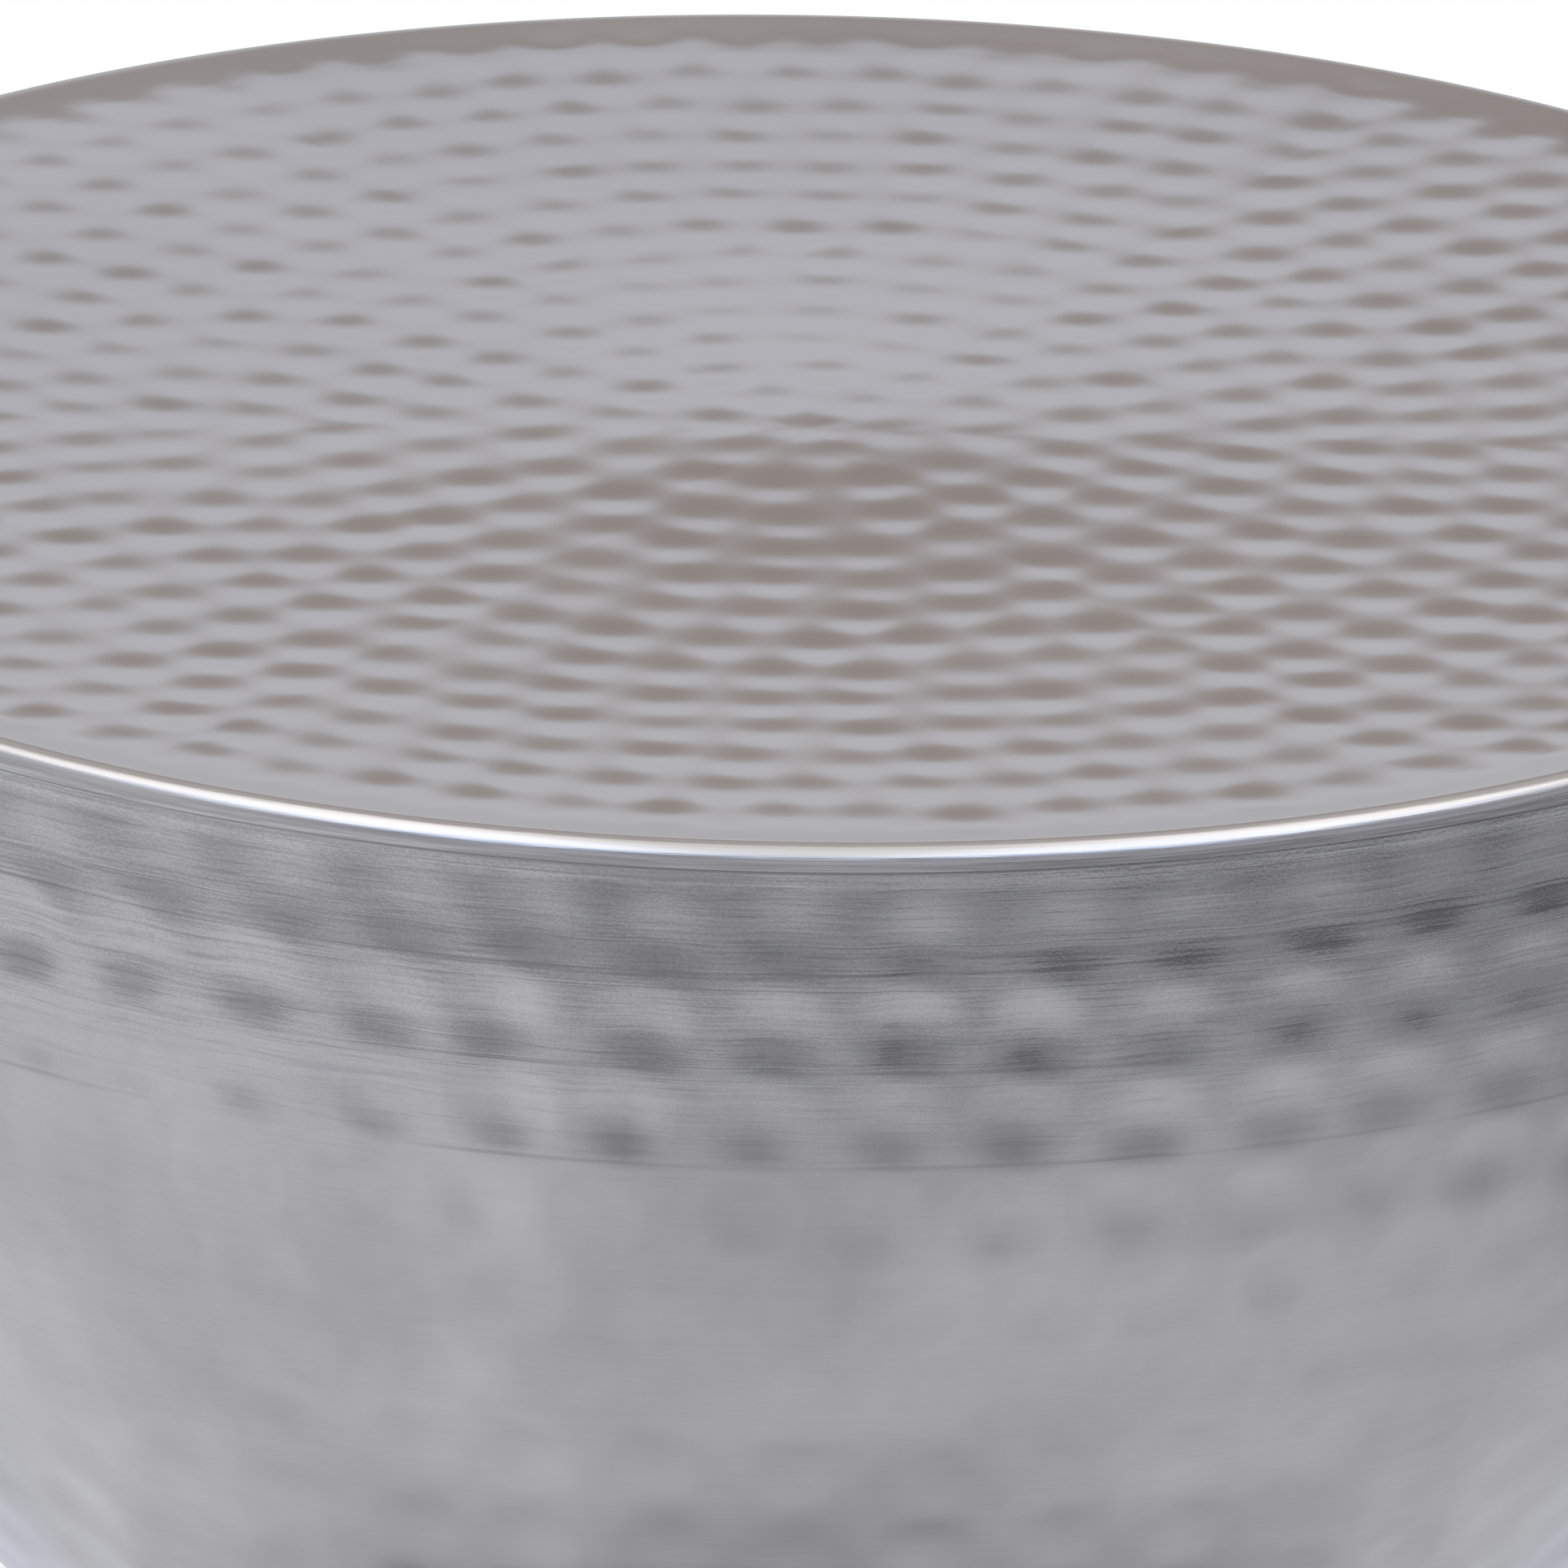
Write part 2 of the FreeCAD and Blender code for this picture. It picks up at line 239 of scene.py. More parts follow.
def spunMesh(name, rings, closed):
    # rings of (across, up, look, number of vertices, share of hammering), joined one to the next
    places, looks, shares, members = [], [], [], []
    for across, up, look, count, share in rings:
        turns = np.arange(count) * 2 * math.pi / count
        start = sum(len(block) for block in places)
        members.append(list(range(start, start + count)))
        outward = np.stack([np.cos(turns), np.sin(turns)], 1)
        places.append(np.column_stack([outward * across, np.full(count, up)]) * mm)
        looks.append(np.column_stack([outward * look[0], np.full(count, look[1])]))
        shares.append(np.full(count, share))
    pairs = list(zip(members, members[1:]))
    if closed:
        pairs.append((members[-1], members[0]))
    faces = [face for first, second in pairs for face in strip(first, second)]
    mesh = bpy.data.meshes.new(name)
    mesh.from_pydata(np.concatenate(places).tolist(), [], faces)
    work = bmesh.new()
    work.from_mesh(mesh)
    bmesh.ops.recalc_face_normals(work, faces=work.faces)
    work.to_mesh(mesh)
    work.free()
    mesh.shade_smooth()
    mesh.set_sharp_from_angle(angle=sharpEdge)
    look = mesh.attributes.new("look", "FLOAT_VECTOR", "POINT")
    look.data.foreach_set("vector", np.concatenate(looks).astype(np.float32).ravel())
    share = mesh.attributes.new("hammered", "FLOAT", "POINT")
    share.data.foreach_set("value", np.concatenate(shares).astype(np.float32))
    return mesh


def eased(value, low, high):
    share = min(1.0, max(0.0, (value - low) / (high - low)))
    return share * share * (3 - 2 * share)


# Hammer marks: rows of round dents at an even pitch along a section line and round the axis

def makeHammering():
    tree = bpy.data.node_groups.new("hammering", "GeometryNodeTree")
    sheet = NodeSheet(tree)
    tree.interface.new_socket("Geometry", in_out="OUTPUT", socket_type="NodeSocketGeometry")
    inputs = [
        ("Geometry", "Geometry"), ("Section Line", "Object"), ("Row Pitch", "Float"),
        ("Round Pitch", "Float"), ("Mark Reach", "Float"), ("Mark Depth", "Float"),
        ("Least Depth", "Float"), ("Bowl Power", "Float"), ("Stray", "Float"),
        ("Soften", "Int"), ("Seed", "Int"), ("Finish", "Material"),
    ]
    for name, kind in inputs:
        tree.interface.new_socket(name, in_out="INPUT", socket_type=f"NodeSocket{kind}")
    given = sheet.add("NodeGroupInput")
    line = sheet.add("GeometryNodeObjectInfo", {}, {"Object": given.out("Section Line")})
    curve = sheet.add("GeometryNodeMeshToCurve", {}, {"Mesh": line.out("Geometry")})
    rows = sheet.add("GeometryNodeCurveToPoints", {"mode": "LENGTH"},
                     {"Curve": curve, "Length": given.out("Row Pitch")})
    rowNumber = sheet.add("GeometryNodeInputIndex")
    rows = sheet.add("GeometryNodeStoreNamedAttribute", {"data_type": "FLOAT", "domain": "POINT"},
                     {"Geometry": rows, "Name": "row", "Value": rowNumber})
    place = sheet.add("GeometryNodeInputPosition")
    parts = sheet.add("ShaderNodeSeparateXYZ", {}, {"Vector": place})
    across, up = parts.out("X"), parts.out("Z")
    around = across * (2 * math.pi) / given.out("Round Pitch")
    around = around.maths("MAXIMUM", around.maths("ROUND", around), 1)
    marks = sheet.add("GeometryNodeDuplicateElements", {"domain": "POINT"},
                      {"Geometry": rows, "Amount": around})
    row = sheet.add("GeometryNodeInputNamedAttribute", {"data_type": "FLOAT"}, {"Name": "row"})
    rowStart = sheet.add("FunctionNodeRandomValue", {"data_type": "FLOAT"},
                         {"Min": 0.0, "Max": 1.0, "ID": row, "Seed": given.out("Seed")})
    angle = (marks.out("Duplicate Index") + row % 2 / 2 + rowStart) / around * (2 * math.pi)
    stray = sheet.add("FunctionNodeRandomValue", {"data_type": "FLOAT_VECTOR"},
                      {"Min": (-1, -1, -1), "Max": (1, 1, 1), "Seed": given.out("Seed") + 1})
    strayed = sheet.scaled(stray, given.out("Stray"))
    ring = sheet.add("ShaderNodeCombineXYZ", {}, {"X": across * angle.maths("COSINE", angle),
                                                  "Y": across * angle.maths("SINE", angle), "Z": up})
    spot = sheet.add("ShaderNodeVectorMath", {"operation": "ADD"}, {0: ring, 1: strayed})
    marks = sheet.add("GeometryNodeSetPosition", {}, {"Geometry": marks, "Position": spot})
    near = sheet.add("GeometryNodeProximity", {"target_element": "POINTS"}, {0: marks})
    nearest = sheet.add("GeometryNodeSampleNearest", {"domain": "POINT"}, {"Geometry": marks})
    weight = sheet.add("FunctionNodeRandomValue", {"data_type": "FLOAT"},
                       {"Min": given.out("Least Depth"), "Max": 1.0, "Seed": given.out("Seed") + 2})
    blow = sheet.add("GeometryNodeSampleIndex", {"data_type": "FLOAT", "domain": "POINT"},
                     {"Geometry": marks, "Value": weight, "Index": nearest})
    reach = near.out("Distance") / given.out("Mark Reach")
    bowl = (1 - reach * reach).clipped()
    dent = bowl.maths("POWER", bowl, given.out("Bowl Power")) * blow * given.out("Mark Depth")
    dent = sheet.add("GeometryNodeBlurAttribute", {"data_type": "FLOAT"},
                     {"Value": dent, "Iterations": given.out("Soften")})
    hammered = sheet.add("GeometryNodeInputNamedAttribute", {"data_type": "FLOAT"}, {"Name": "hammered"})
    look = sheet.add("GeometryNodeInputNamedAttribute", {"data_type": "FLOAT_VECTOR"}, {"Name": "look"})
    push = sheet.scaled(look, -dent * hammered)
    dented = sheet.add("GeometryNodeSetPosition", {}, {"Geometry": given.out("Geometry"), "Offset": push})
    whole = sheet.add("GeometryNodeRealizeInstances", {}, {"Geometry": dented})
    dressed = sheet.add("GeometryNodeSetMaterial", {}, {"Geometry": whole, "Material": given.out("Finish")})
    sheet.add("NodeGroupOutput", {}, {"Geometry": dressed})
    return tree


def hammer(name, mesh, lineStations, settings, finish):
    # the marks are worked into the mesh, which is left plain
    piece = bpy.data.objects.new(name, mesh)
    lineMesh = bpy.data.meshes.new(f"{name}Line")
    spots = [(station[0] * mm, 0.0, station[1] * mm) for station in lineStations]
    lineMesh.from_pydata(spots, [(i, i + 1) for i in range(len(spots) - 1)], [])
    lineObject = bpy.data.objects.new(f"{name}Line", lineMesh)
    for thing in (piece, lineObject):
        bpy.context.scene.collection.objects.link(thing)
    modifier = piece.modifiers.new("hammering", "NODES")
    modifier.node_group = hammering
    values = {"Section Line": lineObject, "Finish": finish}
    values.update({key: value * mm for key, value in settings["lengths"].items()})
    values.update(settings["numbers"])
    for item in hammering.interface.items_tree:
        if item.in_out == "INPUT" and item.name in values:
            modifier[item.identifier] = values[item.name]
    bpy.context.view_layer.update()
    evaluated = piece.evaluated_get(bpy.context.evaluated_depsgraph_get())
    baked = bpy.data.meshes.new_from_object(evaluated)
    piece.modifiers.clear()
    piece.data = baked
    baked.name = name
    for spare in ("look", "hammered"):
        baked.attributes.remove(baked.attributes[spare])
    bpy.data.objects.remove(lineObject)
    bpy.data.meshes.remove(lineMesh)
    bpy.data.meshes.remove(mesh)
    print(name, len(piece.data.vertices), "vertices,", len(piece.data.polygons), "faces")
    return piece


# Finishes: places on the table are in metres, as Object coordinates are, and line widths and bumps in millimetres

def newFinish(name):
    finish = bpy.data.materials.new(name)
    finish.use_nodes = True
    return finish, NodeSheet(finish.node_tree)


def closeFinish(sheet, constants, values):
    shader = sheet.add("ShaderNodeBsdfPrincipled", {}, {**constants, **values})
    sheet.add("ShaderNodeOutputMaterial", {}, {"Surface": shader})


topFinish = {
    "tone": (0.352, 0.353, 0.396, 1.0),
    "cloud": (0.37, 0.371, 0.414, 1.0),
    "toneSpan": (0.35, 0.65),
    "cloudScale": 14.0,
    "grainScale": 900.0,
    "strokeScale": (40.0, 1500.0),
    "roughness": 0.14,
    "cloudRoughness": 0.03,
    "grainRoughness": 0.02,
    "rimTone": (0.4, 0.4, 0.42, 1.0),
    # the skirt's two tones are a lighter copy of the rim's metal: a painted sheen
    "skirtSheenTone": (0.5, 0.5, 0.525, 1.0),
    "skirtSheenShine": (0.68, 0.68, 0.71, 1.0),
    "skirtTop": 0.5572,
    "rimRoughness": 0.1,
    "rimFrom": 0.2115,
    "rimTo": 0.2135,
    "grainHeight": 0.003,
    "strokeShare": 5.0,
}


def makeTopFinish():
    own = topFinish
    finish, sheet = newFinish("hammeredTopAluminium")
    place = sheet.add("ShaderNodeTexCoord").out("Object")
    clouds = sheet.noise(place, own["cloudScale"], 3.0)
    grain = sheet.noise(place, own["grainScale"])
    colour = sheet.mixed(clouds.ramp(*own["toneSpan"]), own["tone"], own["cloud"])
    flat = sheet.add("ShaderNodeVectorMath", {"operation": "MULTIPLY"}, {0: place, 1: (1.0, 1.0, 0.0)})
    across = sheet.length(flat)
    onRim = across.ramp(own["rimFrom"], own["rimTo"])
    rough = own["roughness"] + clouds * own["cloudRoughness"] + grain * own["grainRoughness"]
    rough = rough + onRim * own["rimRoughness"]
    height = sheet.add("ShaderNodeSeparateXYZ", {}, {"Vector": place}).out("Z")
    onSkirt = height.ramp(own["skirtTop"], own["skirtTop"] - mm)
    strokes = sheet.brushed(place, *own["strokeScale"]).ramp(*own["toneSpan"])
    texture = grain + strokes * onRim * own["strokeShare"]
    bump = sheet.bumped(texture, own["grainHeight"])
    # painted sheen: the skirt below the bead is lighter than the rim, standing in for the light it reflects
    skirt = sheet.mixed(strokes, own["skirtSheenTone"], own["skirtSheenShine"])
    colour = sheet.mixed(onRim, colour, sheet.mixed(onSkirt, own["rimTone"], skirt))
    closeFinish(sheet, {"Metallic": 1.0}, {"Base Color": colour, "Roughness": rough, "Normal": bump})
    return finish


shellFinish = {
    "tone": (0.345, 0.345, 0.371, 1.0),
    "cloud": (0.475, 0.475, 0.503, 1.0),
    "toneSpan": (0.25, 0.75),
    "cloudScale": 13.0,
    "cloudTone": 0.75,
    "toneLift": 0.15,
    # mottles on the lower wall: random tone, partly a painted reflection of darker surroundings
    "mottleScale": 30.0,
    "mottlingAndReflection": 0.6,
    "roughness": 0.13,
    "cloudRoughness": 0.03,
    "scratchRoughness": 0.03,
    "anisotropy": 0.3,
    "latheScale": (1.6, 150.0),
    "brushScale": (18.0, 900.0),
    "scratchScale": (80.0, 2200.0),
    "grainScale": 1900.0,
    "grooveWidth": 0.02,
    "grooveTone": 0.15,
    "lineTone": 0.9,
    "deepScratches": (0.42, 0.3),
    "scratchTone": 0.25,
    "grainTone": 0.5,
    "scoreHeights": (0.5365, 0.519, 0.5015),
    "scoreWidth": 0.6,
    "scoreWander": 3.0,
    "wanderScale": 5.0,
    "scoreBreaks": (0.44, 0.62),
    "breakScale": 14.0,
    "scoreTone": 0.3,
    "lineHeight": 0.06,
    "lowLineShare": 0.1,
    "heightShares": {"brush": 0.5, "scratch": 0.3, "groove": 0.2, "score": 0.3, "grain": 0.45},
    # a lighter band of the wall just under the skirt: a painted sheen
    "marginSheenTone": (0.45, 0.45, 0.472, 1.0),
    "marginSheenShine": (0.64, 0.64, 0.668, 1.0),
    "marginSheenFrom": 0.5505,
    "marginSheenTo": 0.5525,
    # a thin dark line under the skirt's lower edge: a painted shadow
    "seamShadowTone": (0.34, 0.34, 0.355, 1.0),
    "seamShadowFrom": 0.5539,
    "seamShadowTo": 0.5543,
    "linesFrom": 0.492,
    "linesTo": 0.538,
}


def makeShellFinish():
    own = shellFinish
    finish, sheet = newFinish("brushedShellAluminium")
    place = sheet.add("ShaderNodeTexCoord").out("Object")
    lathe = sheet.brushed(place, *own["latheScale"])
    brush = sheet.brushed(place, *own["brushScale"])
    scratch = sheet.brushed(place, *own["scratchScale"])
    grain = sheet.noise(place, own["grainScale"])
    groove = lathe.near(0.5, own["grooveWidth"])
    clouds = sheet.noise(place, own["cloudScale"], 4.0, 0.6)
    height = sheet.add("ShaderNodeSeparateXYZ", {}, {"Vector": place}).out("Z")
    brushing = height.ramp(own["linesFrom"], own["linesTo"], own["lowLineShare"], 1.0)
    # random tone on the lower wall, partly a painted reflection of darker surroundings
    mottlesAndReflections = sheet.noise(place, own["mottleScale"], 3.0) - 0.5
    clouds = clouds + mottlesAndReflections * (1 - brushing) * own["mottlingAndReflection"]
    wander = height + (sheet.noise(place, own["wanderScale"], 1.0) - 0.5) * (own["scoreWander"] * mm)
    score = 0.0
    for level in own["scoreHeights"]:
        score = wander.near(level, own["scoreWidth"] * mm) + score
    score = score * sheet.noise(place, own["breakScale"]).ramp(*own["scoreBreaks"])
    strokes = ((brush + scratch) / 2 - 0.5) * own["lineTone"] - groove * own["grooveTone"]
    strokes = strokes - scratch.ramp(*own["deepScratches"]) * own["scratchTone"]
    strokes = strokes + (grain - 0.5) * own["grainTone"]
    cover = clouds * own["cloudTone"] + strokes * brushing - score * own["scoreTone"] + own["toneLift"]
    share = cover.ramp(*own["toneSpan"])
    colour = sheet.mixed(share, own["tone"], own["cloud"])
    # painted sheen: the band just under the skirt gets a lighter copy of the wall's colour
    margin = sheet.mixed(share, own["marginSheenTone"], own["marginSheenShine"])
    colour = sheet.mixed(height.ramp(own["marginSheenFrom"], own["marginSheenTo"]), colour, margin)
    # painted shadow: a thin dark line on the wall just under the skirt's lower edge
    colour = sheet.mixed(height.ramp(own["seamShadowFrom"], own["seamShadowTo"]), colour, own["seamShadowTone"])
    rough = own["roughness"] + scratch * own["scratchRoughness"] + clouds * own["cloudRoughness"]
    part = own["heightShares"]
    lines = brush * part["brush"] + scratch * part["scratch"] + grain * part["grain"]
    lines = (lines - groove * part["groove"] - score * part["score"]) * brushing
    bump = sheet.bumped(lines, own["lineHeight"])
    constants = {"Metallic": 1.0, "Anisotropic": own["anisotropy"], "Anisotropic Rotation": 0.25}
    closeFinish(sheet, constants, {"Base Color": colour, "Roughness": rough, "Normal": bump})
    return finish


zincFinish = {
    "tone": (0.52, 0.53, 0.55, 1.0),
    "stain": (0.44, 0.43, 0.40, 1.0),
    "stainSpan": (0.45, 0.75),
    "stainScale": 60.0,
    "spangleScale": 260.0,
    "roughness": 0.34,
    "stainRoughness": 0.12,
    "spangleRoughness": 0.05,
}


def makeZincFinish():
    own = zincFinish
    finish, sheet = newFinish("zincPlatedSteel")
    place = sheet.add("ShaderNodeTexCoord").out("Object")
    spangle = sheet.add("ShaderNodeTexVoronoi", {}, {"Vector": place, "Scale": own["spangleScale"]})
    stain = sheet.noise(place, own["stainScale"], 4.0)
    colour = sheet.mixed(stain.ramp(*own["stainSpan"]), own["tone"], own["stain"])
    rough = own["roughness"] + stain * own["stainRoughness"] + spangle * own["spangleRoughness"]
    closeFinish(sheet, {"Metallic": 1.0}, {"Base Color": colour, "Roughness": rough})
    return finish


nylonFinish = {
    "tone": (0.018, 0.018, 0.02, 1.0),
    "scuff": (0.05, 0.05, 0.052, 1.0),
    "scuffSpan": (0.55, 0.8),
    "scuffScale": 130.0,
    "grainScale": 1800.0,
    "grainHeight": 0.02,
    "roughness": 0.45,
    "scuffRoughness": 0.15,
}


def makeNylonFinish():
    own = nylonFinish
    finish, sheet = newFinish("blackNylon")
    place = sheet.add("ShaderNodeTexCoord").out("Object")
    grain = sheet.noise(place, own["grainScale"])
    scuffs = sheet.noise(place, own["scuffScale"], 4.0, 0.6)
    colour = sheet.mixed(scuffs.ramp(*own["scuffSpan"]), own["tone"], own["scuff"])
    bump = sheet.bumped(grain, own["grainHeight"])
    rough = own["roughness"] + scuffs * own["scuffRoughness"]
    closeFinish(sheet, {}, {"Base Color": colour, "Roughness": rough, "Normal": bump})
    return finish


hammering = makeHammering()
topAluminium = makeTopFinish()
shellAluminium = makeShellFinish()
zincSteel = makeZincFinish()
blackNylon = makeNylonFinish()
print("finishes made")


# Top panel: rings of marks over the dish and dome, up to the raised band

topPanel = {
    "domeReach": 18.0,
    "domeAngle": 1.8,
    "dishAngle": 3.0,
    "bandBend": 60.0,
    "bandWidth": 5.5,
    "fineRings": 150,
    "coarseRings": 30,
    "lineStep": 1.0,
    "dishStep": 0.25,
    "bandStep": 1.6,
    "marksFadeFrom": 206.0,
    "marksFadeTo": 212.0,
    "lastRow": 198.6,
    "hammering": {
        "lengths": {"Row Pitch": 15.1, "Round Pitch": 16.0, "Mark Reach": 8.6,
                    "Mark Depth": 0.5, "Stray": 1.7},
        "numbers": {"Least Depth": 0.56, "Bowl Power": 2.0, "Soften": 4, "Seed": 11},
    },
}


def topSection(own, dishStep):
    # the outer face, from the middle out to the skirt's lower edge
    domeTurn, dishTurn = math.radians(own["domeAngle"]), math.radians(own["dishAngle"])
    rimRadius, bandBend = form["rimRadius"], own["bandBend"]
    bandEnd = form["topRadius"] - rimRadius * (1 + math.sin(rimTurn)) - own["bandWidth"] * math.cos(rimTurn)
    dishEnd = bandEnd - bandBend * (math.sin(rimTurn) - math.sin(dishTurn))
    dishRadius = (dishEnd - own["domeReach"]) / (math.sin(dishTurn) + math.sin(domeTurn))
    domeRadius = own["domeReach"] / math.sin(domeTurn)
    crown = form["height"] - rimRadius + rimRadius * math.cos(rimTurn) - own["bandWidth"] * math.sin(rimTurn)
    crown += bandBend * (math.cos(rimTurn) - math.cos(dishTurn))
    crown += dishRadius * (math.cos(dishTurn) - math.cos(domeTurn)) + domeRadius * (1 - math.cos(domeTurn))
    dish = walk(0.0, crown, 0.0, [(domeRadius, -domeTurn), (dishRadius, domeTurn + dishTurn)], dishStep)
    bandMoves = [(bandBend, rimTurn - dishTurn), (own["bandWidth"],)]
    band = walk(*dish[-1][:3], bandMoves, own["bandStep"], own["bandStep"])
    rim = walk(*band[-1][:3], [(rimRadius, -quarter - rimTurn), (form["skirtHeight"],)], own["bandStep"])
    return dish, band, rim


def makeTopPanel():
    own = topPanel
    gauge = form["topGauge"]
    dish, band, rim = topSection(own, own["dishStep"])
    edge = band[1:] + rim[1:]
    dishSteps = np.array([station[3] for station in dish])

    def dishRings(count, depth):
        # a ring has six vertices more than the one inside it, so the mesh is as fine everywhere
        rings = []
        for number in range(count + 1):
            nearest = np.argmin(np.abs(dishSteps - dishSteps[-1] * number / count))
            across, up, look, along = facing(dish[int(nearest)], -1, depth)
            rings.append((across if number else 0.0, up, look, max(1, 6 * number), 1.0))
        return rings

    def edgeRing(station, depth, count):
        across, up, look, along = facing(station, -1, depth)
        share = 1 - eased(across, own["marksFadeFrom"], own["marksFadeTo"])
        onBand = up > skirtLevel + form["skirtHeight"]
        return across, up, look, count, share if onBand else 0.0

    rings = dishRings(own["fineRings"], 0.0)
    rings += [edgeRing(station, 0.0, 6 * own["fineRings"]) for station in edge]
    rings += [edgeRing(station, gauge, 6 * own["coarseRings"]) for station in reversed(edge)]
    rings += reversed(dishRings(own["coarseRings"], gauge))
    mesh = spunMesh("topPanelBlank", rings, False)
    line = [station for station in topSection(own, own["lineStep"])[0] if station[0] <= own["lastRow"]]
    return hammer("topPanel", mesh, line, own["hammering"], topAluminium)


# Upper and lower shell: the same flare, hammered in rows and brushed round the axis

shell = {
    "rounds": {"upperShell": (540, 270), "lowerShell": (480, 240)},
    "fineStep": 2.6,
    "coarseStep": 5.2,
    "firstRow": 11.0,
    "lineStep": 0.5,
    "waistMargin": 3.5,
    "waistFade": (3.0, 14.0),
    "rimFade": (0.3, 3.5),
    "waistShare": 0.35,
    "waistSpan": (32.0, 100.0),
    "rimShare": 0.45,
    "rimSpan": (6.0, 22.0),
    "hammering": {
        "lengths": {"Row Pitch": 17.3, "Round Pitch": 21.5, "Mark Reach": 10.0,
                    "Mark Depth": 1.6, "Stray": 1.3},
        "numbers": {"Least Depth": 0.68, "Bowl Power": 2.0, "Soften": 0},
    },
    "seeds": {"upperShell": 23, "lowerShell": 37},
}


def flareMoves(side):
    flange, corner = (form["flangeWidth"],), (waistCorner, side * quarter)
    hollow, shoulder = (hollowRadius, -side * flareTurn), (shoulderRadius, side * flareTurn)
    return [flange, corner, hollow, shoulder]


def upperEnd():
    seatCorner = form["seatBend"] + form["shellGauge"]
    inset = form["rimRadius"] - form["topGauge"] - form["skirtFit"] - seatCorner
    drop = form["rimRadius"] - form["topGauge"] - seatCorner + math.sin(rimTurn) * inset
    land = form["skirtHeight"] + drop / math.cos(rimTurn)
    return [(land,), (seatCorner, quarter + rimTurn), (form["seatWidth"],)]


def lowerEnd():
    return [(footCorner, -math.radians(form["curlAngle"]))]


def makeShell(name, side, endMoves):
    # side is 1 for the flare that rises from the waist, -1 for the one that falls
    own = shell
    fineRound, coarseRound = own["rounds"][name]
    opening = form["waistRadius"] - waistCorner - form["flangeWidth"]
    moves = flareMoves(side) + endMoves
    flareStart = form["flangeWidth"] + waistCorner * quarter
    flareEnd = flareStart + flareLength

    def shareAt(along):
        below = flareEnd - along
        ends = eased(along - flareStart, *own["waistFade"]) * eased(below, *own["rimFade"])
        atRim = (1 - own["rimShare"]) * (1 - eased(below, *own["rimSpan"]))
        atWaist = (1 - own["waistShare"]) * eased(below, *own["waistSpan"])
        return ends * (1 - atRim - atWaist)

    rings = []
    for station in walk(opening, waistLevel, 0.0, moves, own["fineStep"]):
        across, up, look, along = facing(station, side)
        rings.append((across, up, look, fineRound, shareAt(along)))
    for station in reversed(walk(opening, waistLevel, 0.0, moves, own["coarseStep"])):
        across, up, look, along = facing(station, side, form["shellGauge"])
        rings.append((across, up, look, coarseRound, shareAt(along)))
    mesh = spunMesh(f"{name}Blank", rings, True)
    flare = walk(opening, waistLevel, 0.0, flareMoves(side), own["lineStep"])
    first, last = flareEnd - own["firstRow"], flareStart + own["waistMargin"]
    line = [station for station in reversed(flare) if last <= station[3] <= first]
    settings = {
        "lengths": own["hammering"]["lengths"],
        "numbers": {**own["hammering"]["numbers"], "Seed": own["seeds"][name]},
    }
    return hammer(name, mesh, line, settings, shellAluminium)


pieces = {
    "top_panel": (makeTopPanel(), "top_aluminium"),
    "upper_shell": (makeShell("upperShell", 1, upperEnd()), "shell_aluminium"),
    "lower_shell": (makeShell("lowerShell", -1, lowerEnd()), "shell_aluminium"),
}
for node, (piece, slotName) in pieces.items():
    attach(piece, "root")
    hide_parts(node)
print("sheets hammered")

for name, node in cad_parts.items():
    if name in pieces:
        continue
    finish = blackNylon if name.startswith("foot_glide") else zincSteel
    for slot in node.material_slots:
        slot.material = finish
print("hardware dressed")


# Stage, in metres: a pale floor that fades into a white background, softboxes overhead, and the camera
# For rays from the metal the floor glows with a painted pool of light; its lifts and drops are (from, to,
# amount), its side and its painted foot shade (from, to, share at the start)

floorSettings = {
    "radius": 9.0,
    "sides": 96,
    "tone": (0.82, 0.82, 0.82, 1.0),
    "shadowFrom": 0.3,
    "shadowTo": 1.1,
    "shine": 0.83,
    "leftLift": (-0.25, -0.65, 0.13),
    "rightLift": (0.25, 0.65, 0.03),
    "firstDrop": (0.65, 1.5, 0.36),
    "secondDrop": (1.7, 2.2, 0.28),
    "secondSide": (-0.1, 0.55, 0.1),
    "footShade": (0.1, 0.42, 0.62),
    "glowBlotches": 0.26,
    "glowBlotchScale": 9.0,
    "shineMiddle": (0.32, 0.0, 0.0),
    "coolTint": (0.86, 0.89, 1.0, 1.0),
    "coolSpan": (0.1, 0.6),
}


